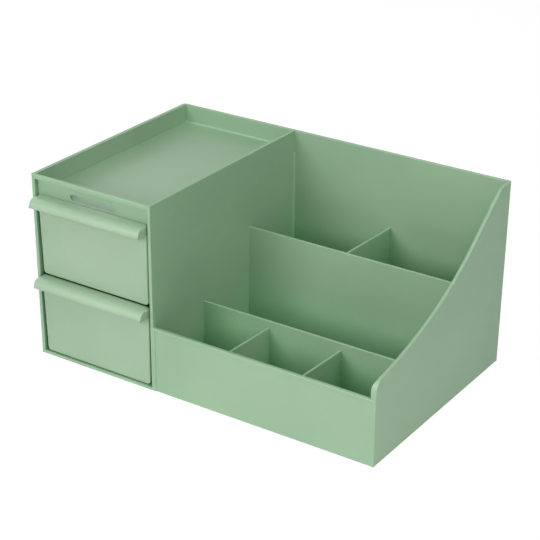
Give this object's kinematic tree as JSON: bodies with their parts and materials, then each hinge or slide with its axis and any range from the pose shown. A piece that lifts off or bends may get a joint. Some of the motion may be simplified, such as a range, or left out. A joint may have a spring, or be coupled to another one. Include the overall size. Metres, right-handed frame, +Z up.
{
  "type": "makeup drawer organizer",
  "caption": "Low desk organizer with a stack of pull-out drawers under a shallow tray beside an open divided section with a curved, falling side wall.",
  "frame": {"origin": "centre of the case's footprint, on the surface it stands on", "axes": "+Z up, +X to the right as seen from the front, the drawers pull out towards -Y"},
  "size_m": [0.3, 0.2003, 0.1495],
  "materials": {
    "case_plastic": "satin",
    "drawer_plastic": "satin"
  },
  "bodies": {
    "case": {"case": "case_plastic"},
    "upper_drawer": {"upper_drawer": "drawer_plastic"},
    "lower_drawer": {"lower_drawer": "drawer_plastic"}
  },
  "joints": [
    {"name": "upper_drawer_slide", "type": "slide", "parent": "case", "child": "upper_drawer", "axis": [0, -1, 0], "range_m": [0, 0.14]},
    {"name": "lower_drawer_slide", "type": "slide", "parent": "case", "child": "lower_drawer", "axis": [0, -1, 0], "range_m": [0, 0.14]}
  ]
}
